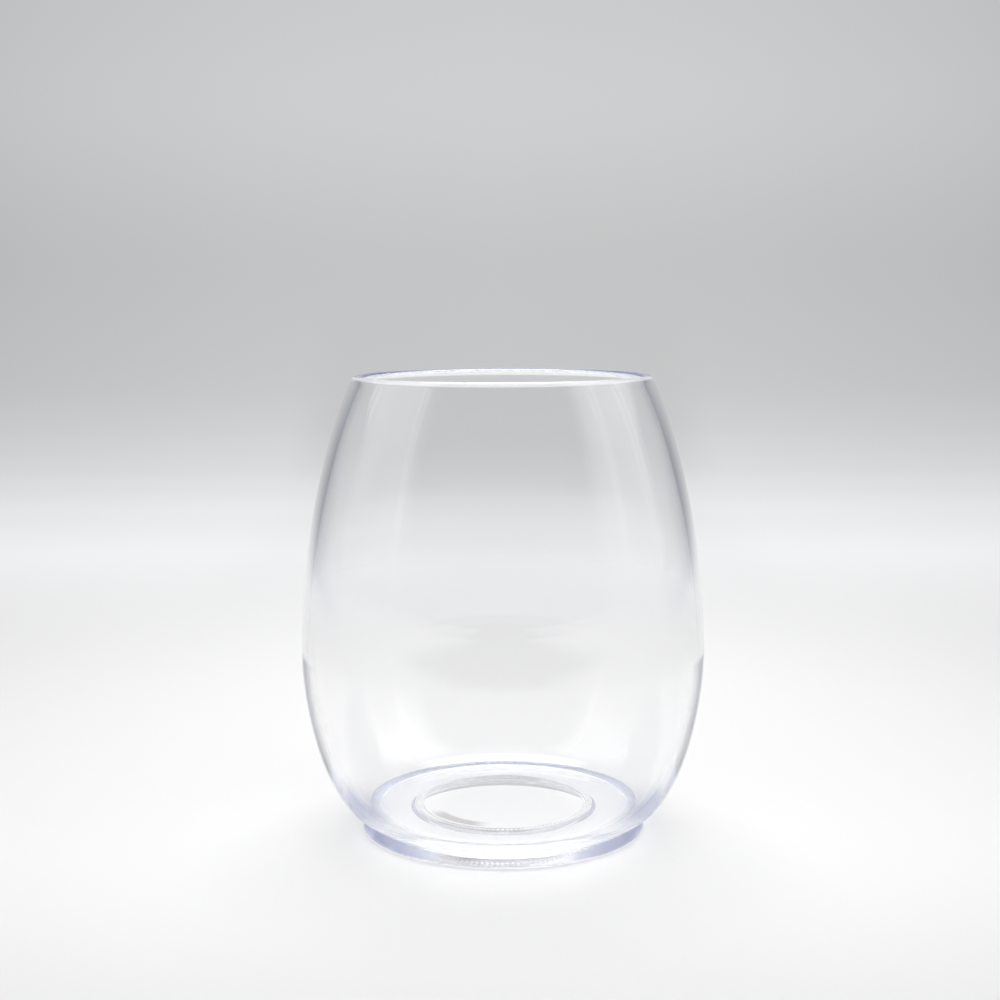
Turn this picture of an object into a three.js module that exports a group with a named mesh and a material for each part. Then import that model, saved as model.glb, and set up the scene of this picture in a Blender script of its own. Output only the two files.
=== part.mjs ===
// Clear plastic water glass: an egg-shaped bowl, a flat ring for a foot and the weld that joins them.
// Millimetres, +Z up. The origin is the middle of the circle that stands on the table.
import * as THREE from "three";

// Whole glass
const totalHeight = 101.8;

// Outside of the bowl
const bellyRadius = 45;
const bellyHeight = 40.4;
const rimRadius = 32.2; // to the middle of the rounded rim
const rimLean = 24.4; // degrees that the wall leans inwards at the rim
const heelRadius = 31.5; // edge of the flat face that stands on the foot
const heelRise = 22; // degrees that the outside climbs where it leaves the foot

// How far the bowl's outline holds its direction at each end of its two curves
const rimPull = 18;
const shoulderPull = 19.9;
const flankPull = 12.1;
const heelPull = 9.7;

// Thickness of the bowl, square to its outside
const rimWall = 2.3;
const bellyWall = 1.6;
const heelWall = 2.45;
const floorThickness = 1.4;
const floorFillet = 0.8; // length of the rounding where floor and wall meet

// Foot
const footLedge = 0.3; // how far the foot stands out past the bowl's heel
const footThickness = 3;
const footWidth = 11.4; // of the ring's top face, from its bore to its edge
const boreFlare = 0.7; // how much wider the bore's radius is at the table
const footTopRound = 0.2;
const footSoleRound = 0.5;
const footBoreRound = 0.2;

// Weld between bowl and foot: a bead in the corner of the bore, under the bowl
const weldWidth = 2;
const weldHeight = 0.8;
const weldToothDepth = 0.4;
const weldToothCount = 120;
const weldClearance = 0.2; // between the bead and the bore

// Fineness of the surfaces
const stepsAround = 60;
const stepsPerCurve = 11;
const stepsPerRound = 4;

// Sizes that follow
const footRadius = heelRadius + footLedge;
const boreRadius = footRadius - footWidth;
const weldOutside = boreRadius - weldClearance;
const floorHeight = footThickness + floorThickness;

const point = (radius, height) => new THREE.Vector2(radius, height);
const direction = (degrees) => {
  const angle = THREE.MathUtils.degToRad(degrees);
  return point(Math.cos(angle), Math.sin(angle));
};

// Points along an arc, counter-clockwise.
function arc(centre, radius, fromDegrees, toDegrees) {
  const start = THREE.MathUtils.degToRad(fromDegrees);
  const end = THREE.MathUtils.degToRad(toDegrees);
  return new THREE.ArcCurve(centre.x, centre.y, radius, start, end).getPoints(stepsPerRound);
}

// Turns an outline round the vertical axis. It runs outwards below, up and back inwards above.
function turned(outline) {
  return new THREE.LatheGeometry(outline, stepsAround).rotateX(Math.PI / 2);
}

// The middle of the rounded rim and the point where the outside of the wall runs into it.
const rimCentre = point(rimRadius, totalHeight - rimWall / 2);
const rimOutside = rimCentre.clone().addScaledVector(direction(rimLean), rimWall / 2);

// Outside of the bowl below the belly, from the foot up.
function flankCurve() {
  const heel = point(heelRadius, footThickness);
  return new THREE.CubicBezierCurve(
    heel,
    heel.clone().addScaledVector(direction(heelRise), heelPull),
    point(bellyRadius, bellyHeight - flankPull),
    point(bellyRadius, bellyHeight),
  );
}

// Outside of the bowl above the belly, up to the rim.
function shoulderCurve() {
  const alongWall = direction(rimLean - 90);
  return new THREE.CubicBezierCurve(
    point(bellyRadius, bellyHeight),
    point(bellyRadius, bellyHeight + shoulderPull),
    rimOutside.clone().addScaledVector(alongWall, rimPull),
    rimOutside,
  );
}

// Points inside a curve of the outside, with the wall thickness running evenly from one end to the other.
function insideOf(curve, wallAtStart, wallAtEnd) {
  return Array.from({ length: stepsPerCurve + 1 }, (_, step) => {
    const share = step / stepsPerCurve;
    const along = curve.getTangent(share);
    const inwards = point(-along.y, along.x);
    const wall = THREE.MathUtils.lerp(wallAtStart, wallAtEnd, share);
    return curve.getPoint(share).addScaledVector(inwards, wall);
  });
}

// The point on the straight line through two others that lies at a height.
function atHeight(height, a, b) {
  return a.clone().lerp(b, (height - a.y) / (b.y - a.y));
}

// The part of an inside outline that lies above the floor, starting with a rounded corner on the floor.
function aboveFloor(inside) {
  // Carried straight on down to the foot, the outline crosses the floor however thin that is.
  const carriedOn = [atHeight(footThickness, inside[0], inside[1]), ...inside];
  const first = carriedOn.findIndex((p) => p.y > floorHeight);
  const below = carriedOn[first - 1];
  const above = carriedOn[first];
  const corner = atHeight(floorHeight, below, above);
  const upWall = above.clone().sub(below).normalize();
  const round = new THREE.QuadraticBezierCurve(
    point(corner.x - floorFillet, floorHeight),
    corner,
    corner.clone().addScaledVector(upWall, floorFillet),
  ).getPoints(stepsPerRound);
  const clear = round[stepsPerRound].y;
  return [...round, ...carriedOn.filter((p) => p.y > clear)];
}

function bowlGeometry() {
  const flank = flankCurve();
  const shoulder = shoulderCurve();
  const rimOut = arc(rimCentre, rimWall / 2, rimLean, 90);
  const rimIn = arc(rimCentre, rimWall / 2, 90, 180 + rimLean);
  const insideFlank = aboveFloor(insideOf(flank, heelWall, bellyWall));
  const insideShoulder = insideOf(shoulder, bellyWall, rimWall);
  return turned([
    point(0, footThickness),
    ...flank.getPoints(stepsPerCurve),
    ...shoulder.getPoints(stepsPerCurve).slice(1, -1),
    ...rimOut,
    ...rimIn.slice(1),
    ...insideShoulder.slice(1, -1).reverse(),
    ...insideFlank.reverse(),
    point(0, floorHeight),
  ]);
}

function footGeometry() {
  const boreLean = THREE.MathUtils.radToDeg(Math.atan2(boreFlare, footThickness));
  const boreEdge = point(boreRadius + boreFlare + footBoreRound, footBoreRound);
  const soleEdge = point(footRadius - footSoleRound, footSoleRound);
  const topEdge = point(footRadius - footTopRound, footThickness - footTopRound);
  const bore = arc(boreEdge, footBoreRound, 180 + boreLean, 270);
  return turned([
    ...bore,
    ...arc(soleEdge, footSoleRound, -90, 0),
    ...arc(topEdge, footTopRound, 0, 90),
    point(boreRadius, footThickness),
    bore[0],
  ]);
}

// A closed saw-toothed circle: every second point lies one tooth depth further in.
function toothedCircle(outerRadius) {
  return Array.from({ length: 2 * weldToothCount }, (_, corner) => {
    const radius = outerRadius - (corner % 2) * weldToothDepth;
    return direction((180 * corner) / weldToothCount).multiplyScalar(radius);
  });
}

function weldGeometry() {
  const bead = new THREE.Shape(toothedCircle(weldOutside));
  bead.holes.push(new THREE.Path(toothedCircle(weldOutside - weldWidth + weldToothDepth)));
  return new THREE.ExtrudeGeometry(bead, { depth: weldHeight, bevelEnabled: false });
}

function clearPlastic(color, roughness) {
  return new THREE.MeshStandardMaterial({
    color, roughness, metalness: 0, transparent: true, opacity: 0.25,
  });
}

const glass = new THREE.Group();

const bowl = new THREE.Mesh(bowlGeometry(), clearPlastic(0xf4f5fa, 0.03));
bowl.name = "bowl";
glass.add(bowl);

const foot = new THREE.Mesh(footGeometry(), clearPlastic(0xeff0f8, 0.04));
foot.name = "foot";
glass.add(foot);

const weldBead = new THREE.Mesh(weldGeometry(), clearPlastic(0xe4e5ec, 0.35));
weldBead.name = "weld_bead";
weldBead.position.z = footThickness - weldHeight;
glass.add(weldBead);

export default glass;
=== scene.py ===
"""A clear plastic water glass on a pale sweep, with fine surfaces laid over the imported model."""
import math

import bpy
import numpy as np
from mathutils import Matrix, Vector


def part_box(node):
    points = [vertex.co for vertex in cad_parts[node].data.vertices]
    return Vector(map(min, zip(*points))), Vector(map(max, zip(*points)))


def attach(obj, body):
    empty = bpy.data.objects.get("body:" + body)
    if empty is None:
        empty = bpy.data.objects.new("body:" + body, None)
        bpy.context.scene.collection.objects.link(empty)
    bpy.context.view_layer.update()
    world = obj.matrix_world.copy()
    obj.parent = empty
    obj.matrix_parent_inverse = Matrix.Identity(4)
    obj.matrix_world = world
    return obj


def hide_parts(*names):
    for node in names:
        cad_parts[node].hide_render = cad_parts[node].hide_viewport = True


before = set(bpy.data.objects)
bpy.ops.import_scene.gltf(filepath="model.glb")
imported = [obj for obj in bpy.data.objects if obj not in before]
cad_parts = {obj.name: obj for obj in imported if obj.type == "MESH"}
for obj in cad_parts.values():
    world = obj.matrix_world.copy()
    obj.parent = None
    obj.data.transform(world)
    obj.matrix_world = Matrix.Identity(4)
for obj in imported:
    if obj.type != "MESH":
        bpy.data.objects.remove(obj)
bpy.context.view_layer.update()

# Lengths are in metres, and angles in radians where a comment doesn't say degrees
MM = 0.001

# Sizes that the frame gives
BELLY_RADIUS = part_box("bowl")[1].x
TOTAL_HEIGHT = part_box("bowl")[1].z
FOOT_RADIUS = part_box("foot")[1].x
FOOT_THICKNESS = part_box("foot")[1].z
WELD_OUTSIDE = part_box("weld_bead")[1].x
WELD_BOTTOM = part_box("weld_bead")[0].z
WELD_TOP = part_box("weld_bead")[1].z

# Outside of the bowl, as the solid has it
BELLY_HEIGHT = 40.4 * MM
RIM_RADIUS = 32.2 * MM  # to the middle of the rounded rim
RIM_LEAN = 24.4  # degrees that the wall leans inwards at the rim
HEEL_RADIUS = 31.5 * MM  # edge of the flat face that stands on the foot
HEEL_RISE = 22  # degrees that the outside climbs where it leaves the foot

# How far the bowl's outline holds its direction at each end of its two curves
RIM_PULL = 18 * MM
SHOULDER_PULL = 19.9 * MM
FLANK_PULL = 12.1 * MM
HEEL_PULL = 9.7 * MM

# Thickness of the bowl, square to its outside
RIM_WALL = 2.3 * MM
BELLY_WALL = 1.6 * MM
HEEL_WALL = 2.45 * MM
FLOOR_THICKNESS = 1.4 * MM
FLOOR_FILLET = 0.8 * MM  # length of the rounding where floor and wall meet
FLOOR_HEIGHT = FOOT_THICKNESS + FLOOR_THICKNESS

# Foot
FOOT_WIDTH = 11.4 * MM  # of the ring's top face, from its bore to its edge
BORE_FLARE = 0.7 * MM  # how much wider the bore's radius is at the table
FOOT_TOP_ROUND = 0.2 * MM
FOOT_SOLE_ROUND = 0.5 * MM
FOOT_BORE_ROUND = 0.2 * MM
BORE_RADIUS = FOOT_RADIUS - FOOT_WIDTH

# Weld
WELD_WIDTH = 2 * MM
WELD_TOOTH_DEPTH = 0.4 * MM
WELD_TEETH = 120

# Air between the bowl and what is welded under it
SEAM_GAP = 0.03 * MM

# Fineness of the surfaces
STEPS_AROUND = 256
STEPS_PER_CURVE = 72
STEPS_PER_ROUND = 12
STEPS_UNDER_WELD = 8
STEPS_PER_BEND = 48
HOLD = 0.08 * MM  # from the end of a long straight line to the point that keeps it flat
HELD_LENGTH = 1.5 * MM  # lines longer than this get such points
SHARP_EDGE = math.radians(20)

# Clear plastic, with a faint haze and waves on its surface
WHITE = (1, 1, 1, 1)
PLASTIC_IOR = 1.56
PLASTIC_TINT = (0.52, 0.6, 0.9, 1)
BOWL_DENSITY = 6.0
FOOT_DENSITY = 10.0
HAZE_SCALE = 90.0
HAZE_DETAIL = 4.0
HAZE_STEP = (0.35, 0.75)
HAZE_ROUGHNESS = 0.03
WAVE_SCALE = 35.0
WAVE_DETAIL = 2.0
WAVE_STRENGTH = 0.02
WAVE_DISTANCE = 0.4 * MM

# Rougher undersides: how rough, from which radius out, and how softly the roughness sets in
HEEL_FROST = 0.6
HEEL_FROST_FROM = 27.5 * MM
SOLE_FROST = 0.1
FROST_EDGE = 1 * MM
UNDERSIDE_EDGE = (0.1 * MM, 0.05 * MM)  # heights over an underside between which its finish sets in

# Painted dark reflection under the bowl beside the weld, in grey, with the angles between which it lies
# round the axis
PAINTED_REFLECTION_GREY = (0.36, 0.34, 0.34, 1)
PAINTED_REFLECTION_RING = (14.6 * MM, 18.4 * MM)
PAINTED_REFLECTION_RING_EDGE = 1 * MM
PAINTED_REFLECTION_TURN = (math.radians(-161), math.radians(-98))
PAINTED_REFLECTION_TURN_EDGE = 0.3

# Hazy teeth of the weld, with the angles round the axis between which they are brownish grey: at the front
# a painted dark reflection, at the back darker teeth
TOOTH_STEP = (-0.2, 0.5)
TOOTH_ROUGHNESS = (0.05, 0.2)
DARKENED_TEETH = (0.6, 0.57, 0.56, 1)
PAINTED_REFLECTION_FRONT = (math.radians(-139), math.radians(-74))
DARKENED_TEETH_BACK = (math.radians(60), math.radians(120))
DARKENED_TEETH_EDGE = 0.1

# Camera
CAMERA_DISTANCE = 364.3 * MM
CAMERA_HEIGHT = 118.53 * MM
CAMERA_SIDE = -0.55 * MM
CAMERA_PITCH = math.radians(6.98)
CAMERA_ROLL = math.radians(-0.19)
CAMERA_NEAR = 10 * MM
SENSOR_WIDTH = 36  # millimetres
IMAGE_SIDE = 1000
FOCAL_PIXELS = 1646

# Sweep: a level table that bends up into the backdrop
SWEEP_WIDTH = 5.0
SWEEP_FRONT = -1.6
SWEEP_BACK = 0.54
SWEEP_RADIUS = 0.3
SWEEP_TOP = 0.8
SWEEP_DROP = 0.05 * MM  # below the foot

# White of the table, with a painted pool of light: brightest round the glass and falling off to the far
# white
TABLE_WHITE = 0.93
POOL_FAR_WHITE = 0.75 * TABLE_WHITE
POOL_REACH = 1.0  # distance behind the glass at which the far white is reached
POOL_FRONT_FALL = 6.0  # how many times nearer it is reached to the front
POOL_SIDE_FALL = 3.6  # and to the sides

# The table seen in or through the glass; each pair says where a change starts and where it is whole
FRONT_REFLECTION_WHITE = 0.1  # past an edge far in front: a painted dark reflection
FRONT_EDGE = (-0.2, -0.28)
FRONT_SIDES = (0.4, 0.25)
BEHIND_SHADOW_LOSS = 0.08  # share of the white that is lost behind the glass: a painted shadow of the glass
BEHIND_DEPTH = (0.05, 0.22)
BEHIND_SIDES = (0.2, 0.12)
SHADE = (0.58, 0.6, 0.7, 1)  # left and right of the foot
SHADE_EDGE = (0.055, 0.045)
SHADE_SIDES = (0.026, 0.036)
SHADE_FRONT = (0.001, -0.003)
UNDER_EDGE = (FOOT_RADIUS, FOOT_RADIUS - 2 * MM)
UNDER_STEP = (0.018, 0.024)  # radii
UNDER_LIGHT = (1.12, 1.22)  # under the bore and under the ring

# Grey level of the backdrop at heights above the table
BACKDROP = (
    (0.0, 246), (0.0055, 236), (0.0125, 225), (0.0217, 219), (0.033, 213),
    (0.057, 204), (0.108, 199), (0.163, 199), (0.25, 207), (0.334, 204))
# The same in the middle, behind the glass, where it is darker: a painted shadow of the glass
BACKDROP_SHADOWED_MIDDLE = (
    (0.0, 243), (0.0125, 219), (0.033, 204), (0.057, 200),
    (0.108, 198), (0.163, 199), (0.25, 207), (0.334, 204))
SHADOWED_MIDDLE_EDGE = (0.14, 0.1)  # distances to the side, from outside to inside it
# Share of that light at distances to the side
BACKDROP_SIDES = (
    (0.0, 1.0), (0.2, 0.96), (0.36, 0.87), (0.48, 0.74),
    (0.62, 0.58), (0.8, 0.55), (1.1, 0.62), (1.5, 0.75))
COOL_STEP = (1.0, 0.4)  # shares of the light between which it turns bluish
COOL_RED = (0.995, 0.95)
COOL_BLUE = (1.012, 1.1)
BEND_LOSS = 0.07  # share of the light that is lost where the table starts to bend
BEND_DEPTH = (0.38, 0.54)
BEND_HEIGHT = (0.012, 0.002)
BACKDROP_FADE = (0.12, 0.42)  # distances behind the glass over which the table passes into the backdrop

# Studio light by the direction that it comes from; an edge or a rise runs over a range of directions
BACK_LIGHT = 0.6
OPENING_EDGE = (0.1, -0.2)  # from the sides to the front
OPENING_RISE = (0.05, 0.35)
OPENING_LIGHT = (0.45, 0.1)
PANEL_EDGE = (0.8, 0.98)  # from the front or back to the sides
PANEL_RISE = (0.1, 0.5)
PANEL_LIGHT = (0.55, 1.2)
PANEL_SIDES = (-0.5, 0.5)  # left and right
PANEL_GAIN = (1.0, 1.25)
STRIPS = ((-0.93, -0.9), (0.965, 0.985))  # brighter stripes in the panels
STRIP_EDGE = 1 / 3  # share of a stripe's width
STRIP_RISE = (0.0, 0.3)
STRIP_LIGHT = 0.5
TOP_EDGE = (0.85, 0.93)
TOP_LIGHT = 0.5
LAMP_LEAN = math.radians(25)  # towards the back
LAMP_EDGE = (0.92, 0.96)
LAMP_LIGHT = 4.3

# Light paths through the plastic
MOST_BOUNCES = 96


# Outlines: arrays of (radius, height)

def direction(degrees):
    """A step of length 1, at an angle above level."""
    angle = math.radians(degrees)
    return np.array([math.cos(angle), math.sin(angle)])


def bezier(points):
    """Points and unit tangents at even steps along a cubic Bezier curve."""
    a, b, c, d = (np.array(p) for p in points)
    t = np.linspace(0, 1, STEPS_PER_CURVE + 1)[:, None]
    place = a * (1 - t) ** 3 + 3 * b * t * (1 - t) ** 2 + 3 * c * t ** 2 * (1 - t) + d * t ** 3
    slope = (b - a) * (1 - t) ** 2 + 2 * (c - b) * t * (1 - t) + (d - c) * t ** 2
    return place, slope / np.linalg.norm(slope, axis=1)[:, None]


def arc(centre, radius, start, end, steps=STEPS_PER_ROUND):
    """Points along an arc, with angles in degrees."""
    angle = np.radians(np.linspace(start, end, steps + 1))
    return np.array(centre) + radius * np.stack([np.cos(angle), np.sin(angle)], 1)


def inside_of(place, tangent, wall_start, wall_end):
    """Points inside a curve, with the wall thickness running evenly from one end to the other."""
    wall = np.linspace(wall_start, wall_end, len(place))[:, None]
    inwards = np.stack([-tangent[:, 1], tangent[:, 0]], 1)
    return place + inwards * wall


def at_height(height, a, b):
    """The point on the straight line through two others that lies at a height."""
    return a + (b - a) * (height - a[1]) / (b[1] - a[1])


def above_floor(inside):
    """The part of an inside outline above the floor, starting with a rounded corner on the floor."""
    # Carried straight on down to the foot, the outline crosses the floor
    carried_on = np.vstack([at_height(FOOT_THICKNESS, inside[0], inside[1]), inside])
    first = int(np.argmax(carried_on[:, 1] > FLOOR_HEIGHT))
    below, above = carried_on[first - 1], carried_on[first]
    corner = at_height(FLOOR_HEIGHT, below, above)
    up_wall = (above - below) / np.linalg.norm(above - below)
    start = corner - [FLOOR_FILLET, 0]
    end = corner + up_wall * FLOOR_FILLET
    t = np.linspace(0, 1, STEPS_PER_ROUND + 1)[:, None]
    fillet = start * (1 - t) ** 2 + 2 * corner * t * (1 - t) + end * t ** 2
    return np.vstack([fillet, carried_on[carried_on[:, 1] > end[1]]])


def bowl_outline():
    """From the axis out under the bowl, up its outside, over the rim and down inside to the floor."""
    heel = np.array([HEEL_RADIUS, FOOT_THICKNESS])
    belly = np.array([BELLY_RADIUS, BELLY_HEIGHT])
    rim_centre = np.array([RIM_RADIUS, TOTAL_HEIGHT - RIM_WALL / 2])
    rim_outside = rim_centre + direction(RIM_LEAN) * RIM_WALL / 2
    past_heel = heel + direction(HEEL_RISE) * HEEL_PULL
    before_rim = rim_outside + direction(RIM_LEAN - 90) * RIM_PULL
    flank, flank_along = bezier([heel, past_heel, belly - [0, FLANK_PULL], belly])
    shoulder, shoulder_along = bezier([belly, belly + [0, SHOULDER_PULL], before_rim, rim_outside])
    rim_out = arc(rim_centre, RIM_WALL / 2, RIM_LEAN, 90)
    rim_in = arc(rim_centre, RIM_WALL / 2, 90, RIM_LEAN + 180)
    inside_flank = above_floor(inside_of(flank, flank_along, HEEL_WALL, BELLY_WALL))
    inside_shoulder = inside_of(shoulder, shoulder_along, BELLY_WALL, RIM_WALL)
    return np.vstack([
        [0, FOOT_THICKNESS],
        flank,
        shoulder[1:-1],
        rim_out,
        rim_in[1:],
        inside_shoulder[1:-1][::-1],
        inside_flank[::-1],
        [0, FLOOR_HEIGHT],
    ])


def foot_outline():
    """From the lower edge of the foot's bore out, up and back to where it starts."""
    bore_lean = math.degrees(math.atan(BORE_FLARE / FOOT_THICKNESS))
    top = FOOT_THICKNESS - SEAM_GAP
    bore_edge = [BORE_RADIUS + BORE_FLARE + FOOT_BORE_ROUND, FOOT_BORE_ROUND]
    sole_edge = [FOOT_RADIUS - FOOT_SOLE_ROUND, FOOT_SOLE_ROUND]
    top_edge = [FOOT_RADIUS - FOOT_TOP_ROUND, top - FOOT_TOP_ROUND]
    bore = arc(bore_edge, FOOT_BORE_ROUND, 180 + bore_lean, 270)
    return np.vstack([
        bore,
        arc(sole_edge, FOOT_SOLE_ROUND, -90, 0),
        arc(top_edge, FOOT_TOP_ROUND, 0, 90),
        [BORE_RADIUS, top],
        bore[0],
    ])


# Meshes

def held(outline):
    """The outline with a point added near each end of its long straight lines, so that they shade flat."""
    points = [outline[0]]
    for start, end in zip(outline[:-1], outline[1:]):
        length = np.linalg.norm(end - start)
        if length > HELD_LENGTH:
            step = (end - start) * HOLD / length
            points += [start + step, end - step]
        points.append(end)
    return np.array(points)


def turned(outline):
    """Rings of points round the axis, one for each (radius, height)."""
    turn = np.linspace(0, 2 * math.pi, STEPS_AROUND, endpoint=False)
    radius = outline[:, :1]
    height = np.repeat(outline[:, 1:], STEPS_AROUND, 1)
    return np.stack([radius * np.cos(turn), radius * np.sin(turn), height], 2).reshape(-1, 3)


def ring_faces(rings, columns, closed=False):
    """Faces between neighbouring rings of points, and from the last ring back to the first if closed."""
    count = rings * columns
    faces = []
    for ring in range(rings if closed else rings - 1):
        for column in range(columns):
            a = ring * columns + column
            b = ring * columns + (column + 1) % columns
            faces.append((a, b, (b + columns) % count, (a + columns) % count))
    return faces


def lathe(name, outline):
    """A closed solid of revolution: the outline starts and ends on the axis."""
    outline = held(outline)
    points = turned(outline[1:-1])
    faces = ring_faces(len(outline) - 2, STEPS_AROUND)
    last_ring = len(points) - STEPS_AROUND
    start, end = len(points), len(points) + 1
    for step in range(STEPS_AROUND):
        after = (step + 1) % STEPS_AROUND
        faces.append((after, step, start))
        faces.append((last_ring + step, last_ring + after, end))
    points = np.vstack([points, [0, 0, outline[0, 1]], [0, 0, outline[-1, 1]]])
    return mesh_object(name, points, faces)


def lathe_ring(name, outline):
    """A closed ring of revolution: the outline ends where it starts."""
    outline = held(outline)[:-1]
    return mesh_object(name, turned(outline), ring_faces(len(outline), STEPS_AROUND, closed=True))


def mesh_object(name, points, faces, sharp_edge=SHARP_EDGE):
    """An object that shades smooth, apart from edges that turn by more than an angle."""
    mesh = bpy.data.meshes.new(name)
    mesh.from_pydata(np.asarray(points).tolist(), [], faces)
    mesh.polygons.foreach_set("use_smooth", [True] * len(mesh.polygons))
    mesh.set_sharp_from_angle(angle=sharp_edge)
    made = bpy.data.objects.new(name, mesh)
    bpy.context.scene.collection.objects.link(made)
    return made


# Node trees

class Tree:
    """The node tree of a material or world, emptied, with calls that add nodes to it."""

    def __init__(self, owner):
        owner.use_nodes = True
        self.tree = owner.node_tree
        self.tree.nodes.clear()

    def add(self, kind, inputs=None, **settings):
        """A node whose inputs, by name or number, are set to values or linked to other nodes' outputs."""
        node = self.tree.nodes.new(kind)
        for name, setting in settings.items():
            setattr(node, name, setting)
        for key, value in (inputs or {}).items():
            if isinstance(value, bpy.types.NodeSocket):
                self.tree.links.new(value, node.inputs[key])
            else:
                node.inputs[key].default_value = value
        return node

    def math(self, operation, a, b=0.0, c=0.0):
        return self.add("ShaderNodeMath", {0: a, 1: b, 2: c}, operation=operation).outputs[0]

    def product(self, first, *others):
        """All the values multiplied."""
        for other in others:
            first = self.math("MULTIPLY", first, other)
        return first

    def ramp(self, value, low, high, to_low=0.0, to_high=1.0):
        """A smooth step of a value from one range to another."""
        inputs = {"Value": value, "From Min": low, "From Max": high, "To Min": to_low, "To Max": to_high}
        return self.add("ShaderNodeMapRange", inputs, interpolation_type="SMOOTHSTEP").outputs[0]

    def between(self, value, start, end, edge):
        """1 where a value lies between two others, with soft edges."""
        return self.product(self.ramp(value, start, start + edge), self.ramp(value, end, end - edge))

    def blend(self, first, second, share):
        """The first value where share is 0, and the second where it is 1."""
        kept = self.product(self.math("SUBTRACT", 1.0, share), first)
        return self.math("MULTIPLY_ADD", share, second, kept)

    def blend_colour(self, first, second, share):
        """The first colour where share is 0, and the second where it is 1."""
        inputs = {"Factor": share, 6: first, 7: second}
        return self.add("ShaderNodeMix", inputs, data_type="RGBA").outputs[2]

    def dimmed(self, value, loss, share):
        """A value that loses a part of itself where share is 1."""
        return self.product(value, self.math("MULTIPLY_ADD", share, -loss, 1.0))

    def curve(self, value, table):
        """A smooth curve through a table of (value, result)."""
        span = table[-1][0]
        node = self.add("ShaderNodeValToRGB", {"Fac": self.math("DIVIDE", value, span)})
        node.color_ramp.interpolation = "CARDINAL"
        stops = node.color_ramp.elements
        while len(stops) < len(table):
            stops.new(0.5)
        for stop, (place, result) in zip(stops, table):
            stop.position = place / span
            stop.color = (result, result, result, 1)
        return node.outputs[0]

    def noise(self, place, scale, detail):
        inputs = {"Vector": place, "Scale": scale, "Detail": detail}
        return self.add("ShaderNodeTexNoise", inputs).outputs[0]

    def place(self, kind):
        """Texture coordinates of a kind."""
        return self.add("ShaderNodeTexCoord").outputs[kind]

    def split(self, place):
        return self.add("ShaderNodeSeparateXYZ", {"Vector": place}).outputs

    def around_axis(self, place):
        """Distance from the axis, angle round it and height of a place."""
        x, y, height = self.split(place)
        level = self.add("ShaderNodeCombineXYZ", {"X": x, "Y": y}).outputs[0]
        from_axis = self.add("ShaderNodeVectorMath", {0: level}, operation="LENGTH").outputs["Value"]
        return from_axis, self.math("ARCTAN2", y, x), height


# Materials of the glass

def end_plastic(tree, density, finish):
    """Ends a material as clear plastic with this surface finish and an inside that absorbs some light."""
    surface = tree.add(
        "ShaderNodeBsdfPrincipled", {"IOR": PLASTIC_IOR, "Transmission Weight": 1.0} | finish)
    inside = tree.add("ShaderNodeVolumeAbsorption", {"Color": PLASTIC_TINT, "Density": density})
    tree.add("ShaderNodeOutputMaterial", {"Surface": surface.outputs[0], "Volume": inside.outputs[0]})


def clear_plastic(name, density, underside_height, frost, frost_from, painted_reflection=None):
    """Clear plastic with an underside that is rougher from a radius out, and may carry a painted dark
    reflection on one side.
    """
    material = bpy.data.materials.new(name)
    tree = Tree(material)
    place = tree.place("Object")
    from_axis, turn, height = tree.around_axis(place)
    underside = tree.ramp(height, *(underside_height + edge for edge in UNDERSIDE_EDGE))

    haze = tree.noise(place, HAZE_SCALE, HAZE_DETAIL)
    frosted = tree.product(underside, tree.ramp(from_axis, frost_from, frost_from + FROST_EDGE))
    rough = tree.ramp(haze, *HAZE_STEP, 0.0, HAZE_ROUGHNESS)
    rough = tree.math("MULTIPLY_ADD", frosted, frost, rough)

    wave = tree.noise(place, WAVE_SCALE, WAVE_DETAIL)
    bump = tree.add(
        "ShaderNodeBump", {"Strength": WAVE_STRENGTH, "Distance": WAVE_DISTANCE, "Height": wave})

    colour = WHITE
    # A painted dark reflection: grey in a ring on the underside, on one side only
    if painted_reflection:
        ring = tree.between(from_axis, *PAINTED_REFLECTION_RING, PAINTED_REFLECTION_RING_EDGE)
        side = tree.between(turn, *PAINTED_REFLECTION_TURN, PAINTED_REFLECTION_TURN_EDGE)
        colour = tree.blend_colour(WHITE, painted_reflection, tree.product(ring, side, underside))
    end_plastic(tree, density, {"Base Color": colour, "Roughness": rough, "Normal": bump.outputs[0]})
    return material


def weld_plastic():
    """Clear plastic with hazy teeth, brownish grey at the back and, as a painted dark reflection, at the
    front.
    """
    material = bpy.data.materials.new("weld_plastic")
    tree = Tree(material)
    _, turn, _ = tree.around_axis(tree.place("Object"))
    tooth = tree.math("SINE", tree.product(turn, WELD_TEETH))
    tooth = tree.ramp(tooth, *TOOTH_STEP)
    # Brownish grey teeth: at the front a painted dark reflection, at the back darker teeth
    front = tree.between(turn, *PAINTED_REFLECTION_FRONT, DARKENED_TEETH_EDGE)
    back = tree.between(turn, *DARKENED_TEETH_BACK, DARKENED_TEETH_EDGE)
    darkening = tree.product(tree.math("MAXIMUM", front, back), tooth)
    colour = tree.blend_colour(WHITE, DARKENED_TEETH, darkening)
    rough = tree.ramp(tooth, 0.0, 1.0, *TOOTH_ROUGHNESS)
    end_plastic(tree, BOWL_DENSITY, {"Base Color": colour, "Roughness": rough})
    return material


# Stage

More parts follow.
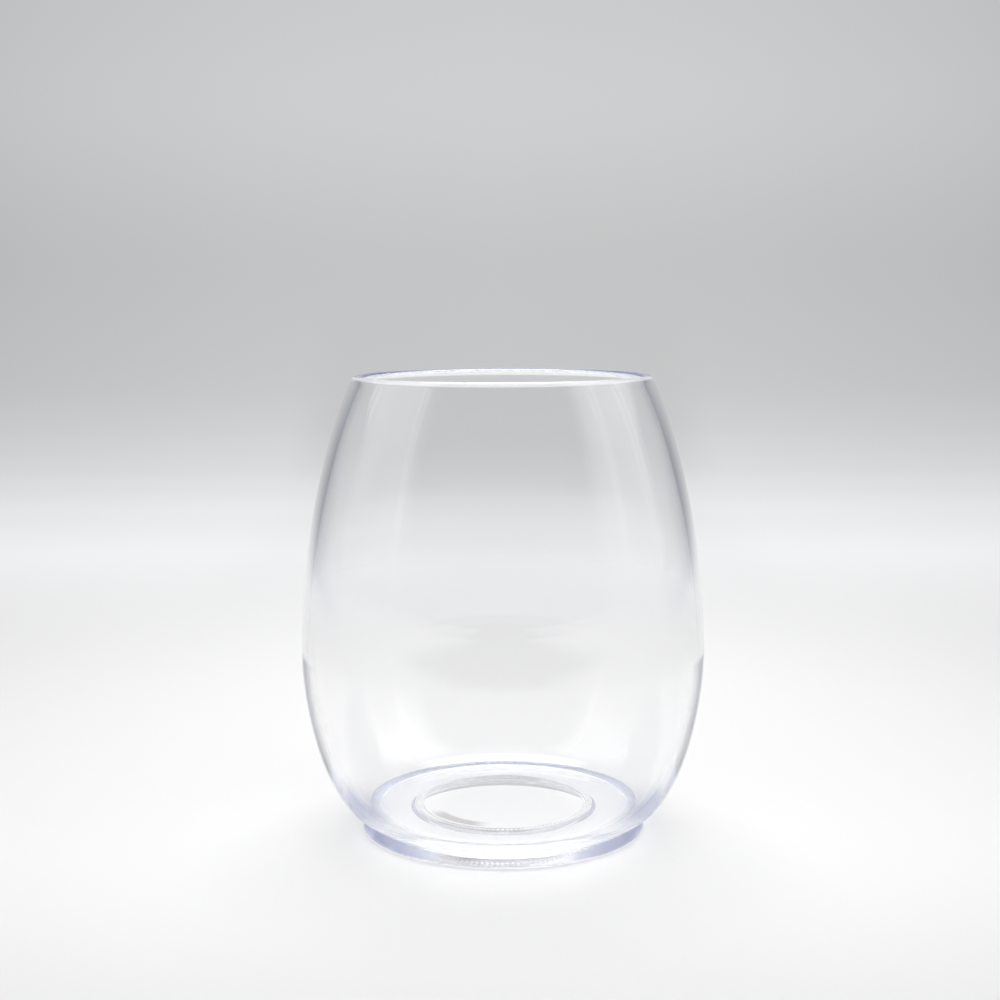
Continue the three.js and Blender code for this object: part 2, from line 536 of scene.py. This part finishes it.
def make_camera():
    """A camera that sees the glass at the photograph's angle."""
    lens = bpy.data.cameras.new("camera")
    lens.sensor_width = SENSOR_WIDTH
    lens.lens = SENSOR_WIDTH * FOCAL_PIXELS / IMAGE_SIDE
    lens.clip_start = CAMERA_NEAR
    camera = bpy.data.objects.new("camera", lens)
    bpy.context.scene.collection.objects.link(camera)
    camera.location = (CAMERA_SIDE, -CAMERA_DISTANCE, CAMERA_HEIGHT)
    tilt = Matrix.Rotation(math.pi / 2 - CAMERA_PITCH, 3, "X") @ Matrix.Rotation(CAMERA_ROLL, 3, "Z")
    camera.rotation_euler = tilt.to_euler()
    bpy.context.scene.camera = camera


def grey(level):
    """Linear value of an 8-bit grey level."""
    share = level / 255
    return share / 12.92 if share <= 0.04045 else ((share + 0.055) / 1.055) ** 2.4


def table_surface(tree, place, ray, by_glass):
    """White paint with a painted pool of light round the glass, that differs where it is seen in or through
    the glass.
    """
    across, depth, _ = tree.split(place)
    aside = tree.math("ABSOLUTE", across)
    from_axis, _, _ = tree.around_axis(place)
    # A painted pool of light: the white falls off away from the glass, sooner to the front and the sides
    along = tree.math("MAXIMUM", depth, tree.product(depth, -POOL_FRONT_FALL))
    wide = tree.product(aside, POOL_SIDE_FALL)
    away = tree.math("SQRT", tree.math("MULTIPLY_ADD", along, along, tree.product(wide, wide)))
    white = tree.ramp(away, 0.0, POOL_REACH, TABLE_WHITE, POOL_FAR_WHITE)

    # Seen so, it is dark far in front: a painted dark reflection
    front = tree.product(tree.ramp(depth, *FRONT_EDGE), tree.ramp(aside, *FRONT_SIDES), by_glass)
    white = tree.blend(white, FRONT_REFLECTION_WHITE, front)

    # Seen through the glass alone, it is a little darker behind it: a painted shadow of the glass
    shadow_behind = tree.product(tree.ramp(depth, *BEHIND_DEPTH), tree.ramp(aside, *BEHIND_SIDES))
    white = tree.dimmed(white, BEHIND_SHADOW_LOSS, tree.product(shadow_behind, ray["Is Transmission Ray"]))

    # Seen so, it lies in the shade of the belly left and right of the foot
    shade = tree.product(tree.ramp(from_axis, *SHADE_EDGE), tree.ramp(aside, *SHADE_SIDES))
    shade = tree.product(shade, tree.ramp(depth, *SHADE_FRONT), by_glass)
    paint = tree.add("ShaderNodeBsdfDiffuse", {"Color": tree.blend_colour(white, SHADE, shade)})

    # Seen so, it is lit under the glass
    under = tree.product(tree.ramp(from_axis, *UNDER_EDGE), by_glass)
    light = tree.ramp(from_axis, *UNDER_STEP, *UNDER_LIGHT)
    lit = tree.add("ShaderNodeEmission", {"Strength": light})
    surface = tree.add("ShaderNodeMixShader", {"Fac": under, 1: paint.outputs[0], 2: lit.outputs[0]})
    return surface.outputs[0]


def backdrop_surface(tree, place):
    """A glow of fixed levels that is weaker and bluish to the sides, and darker in the middle behind the
    glass as a painted shadow.
    """
    across, depth, height = tree.split(place)
    aside = tree.math("ABSOLUTE", across)
    level, shadowed_middle = (
        tree.curve(height, [(at, grey(shade)) for at, shade in table])
        for table in (BACKDROP, BACKDROP_SHADOWED_MIDDLE))
    # A painted shadow of the glass: the backdrop is darker in the middle, behind it
    level = tree.blend(level, shadowed_middle, tree.ramp(aside, *SHADOWED_MIDDLE_EDGE))
    side = tree.curve(aside, BACKDROP_SIDES)
    level = tree.product(level, side)
    bend = tree.product(tree.ramp(depth, *BEND_DEPTH), tree.ramp(height, *BEND_HEIGHT))
    level = tree.dimmed(level, BEND_LOSS, bend)
    cool = tree.ramp(side, *COOL_STEP)
    red = tree.product(level, tree.ramp(cool, 0.0, 1.0, *COOL_RED))
    blue = tree.product(level, tree.ramp(cool, 0.0, 1.0, *COOL_BLUE))
    colour = tree.add("ShaderNodeCombineColor", {"Red": red, "Green": level, "Blue": blue})
    return tree.add("ShaderNodeEmission", {"Color": colour.outputs[0], "Strength": 1.0}).outputs[0]


def sweep_material():
    """The table, which passes into the backdrop where it is seen, straight or by way of the glass."""
    material = bpy.data.materials.new("sweep")
    tree = Tree(material)
    place = tree.place("Object")
    ray = tree.add("ShaderNodeLightPath").outputs
    by_glass = tree.math("MAXIMUM", ray["Is Glossy Ray"], ray["Is Transmission Ray"])
    seen = tree.math("MAXIMUM", ray["Is Camera Ray"], by_glass)
    _, depth, _ = tree.split(place)
    far = tree.product(tree.ramp(depth, *BACKDROP_FADE), seen)
    table = table_surface(tree, place, ray, by_glass)
    backdrop = backdrop_surface(tree, place)
    surface = tree.add("ShaderNodeMixShader", {"Fac": far, 1: table, 2: backdrop})
    tree.add("ShaderNodeOutputMaterial", {"Surface": surface.outputs[0]})
    return material


def make_sweep():
    """A sheet that lies level round the glass and bends up behind it."""
    bend = arc([SWEEP_BACK, SWEEP_RADIUS], SWEEP_RADIUS, -90, 0, STEPS_PER_BEND)
    line = np.vstack([[SWEEP_FRONT, 0], bend, [SWEEP_BACK + SWEEP_RADIUS, SWEEP_TOP]])
    points = []
    for y, z in line:
        points += [(side * SWEEP_WIDTH / 2, y, z - SWEEP_DROP) for side in (-1, 1)]
    faces = [(a, a + 1, a + 3, a + 2) for a in range(0, len(points) - 2, 2)]
    sweep = mesh_object("sweep", points, faces, sharp_edge=math.pi)
    sweep.data.materials.append(sweep_material())


def make_world():
    """Lit panels at both sides, a lamp above and a dark opening in front that only the glass shows."""
    world = bpy.data.worlds.new("studio")
    bpy.context.scene.world = world
    tree = Tree(world)
    way = tree.place("Generated")
    across, depth, height = tree.split(way)
    level, _, _ = tree.around_axis(way)
    side = tree.math("DIVIDE", across, level)

    by_glass = tree.add("ShaderNodeLightPath").outputs["Is Glossy Ray"]
    opening = tree.product(tree.ramp(depth, *OPENING_EDGE), by_glass)
    light = tree.blend(BACK_LIGHT, tree.ramp(height, *OPENING_RISE, *OPENING_LIGHT), opening)

    panel = tree.ramp(tree.math("ABSOLUTE", side), *PANEL_EDGE)
    panel_light = tree.ramp(height, *PANEL_RISE, *PANEL_LIGHT)
    panel_light = tree.product(panel_light, tree.ramp(side, *PANEL_SIDES, *PANEL_GAIN))
    light = tree.blend(light, panel_light, panel)
    for start, end in STRIPS:
        strip = tree.between(side, start, end, (end - start) * STRIP_EDGE)
        strip = tree.product(strip, tree.ramp(height, *STRIP_RISE))
        light = tree.math("MULTIPLY_ADD", strip, STRIP_LIGHT, light)

    light = tree.blend(light, TOP_LIGHT, tree.ramp(height, *TOP_EDGE))
    to_lamp = tree.product(depth, math.sin(LAMP_LEAN))
    to_lamp = tree.math("MULTIPLY_ADD", height, math.cos(LAMP_LEAN), to_lamp)
    light = tree.blend(light, LAMP_LIGHT, tree.ramp(to_lamp, *LAMP_EDGE))
    background = tree.add("ShaderNodeBackground", {"Color": light, "Strength": 1.0})
    tree.add("ShaderNodeOutputWorld", {"Surface": background.outputs[0]})


# Pieces of the glass

def make_weld():
    """A ring with saw teeth on both sides and a rounded underside."""
    corner = np.arange(2 * WELD_TEETH)
    turn = corner * math.pi / WELD_TEETH
    tooth = (corner % 2) * WELD_TOOTH_DEPTH
    top = WELD_TOP - SEAM_GAP
    half_width = (WELD_WIDTH - WELD_TOOTH_DEPTH) / 2
    rings = []
    for angle in np.radians(np.linspace(180, 360, STEPS_UNDER_WELD + 1)):
        radius = WELD_OUTSIDE - half_width + half_width * math.cos(angle) - tooth
        height = np.full(len(turn), top + (top - WELD_BOTTOM) * math.sin(angle))
        rings.append(np.stack([radius * np.cos(turn), radius * np.sin(turn), height], 1))
    return mesh_object("weld_teeth", np.vstack(rings), ring_faces(len(rings), len(turn), closed=True))


def dress(piece, material, node):
    """Gives a piece its material and has it stand for a node."""
    piece.data.materials.append(material)
    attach(piece, "root")
    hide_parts(node)


def make_glass():
    foot = lathe_ring("foot_clear", foot_outline())
    foot_plastic = clear_plastic("foot_plastic", FOOT_DENSITY, 0.0, SOLE_FROST, BORE_RADIUS)
    dress(foot, foot_plastic, "foot")
    bowl = lathe("bowl_clear", bowl_outline())
    bowl_plastic = clear_plastic(
        "bowl_plastic", BOWL_DENSITY, FOOT_THICKNESS, HEEL_FROST, HEEL_FROST_FROM, PAINTED_REFLECTION_GREY)
    dress(bowl, bowl_plastic, "bowl")
    dress(make_weld(), weld_plastic(), "weld_bead")


make_camera()
make_world()
make_sweep()
make_glass()

scene = bpy.context.scene
scene.view_settings.view_transform = "Standard"
scene.cycles.max_bounces = MOST_BOUNCES
scene.cycles.transmission_bounces = MOST_BOUNCES
scene.cycles.glossy_bounces = MOST_BOUNCES
scene.cycles.blur_glossy = 0
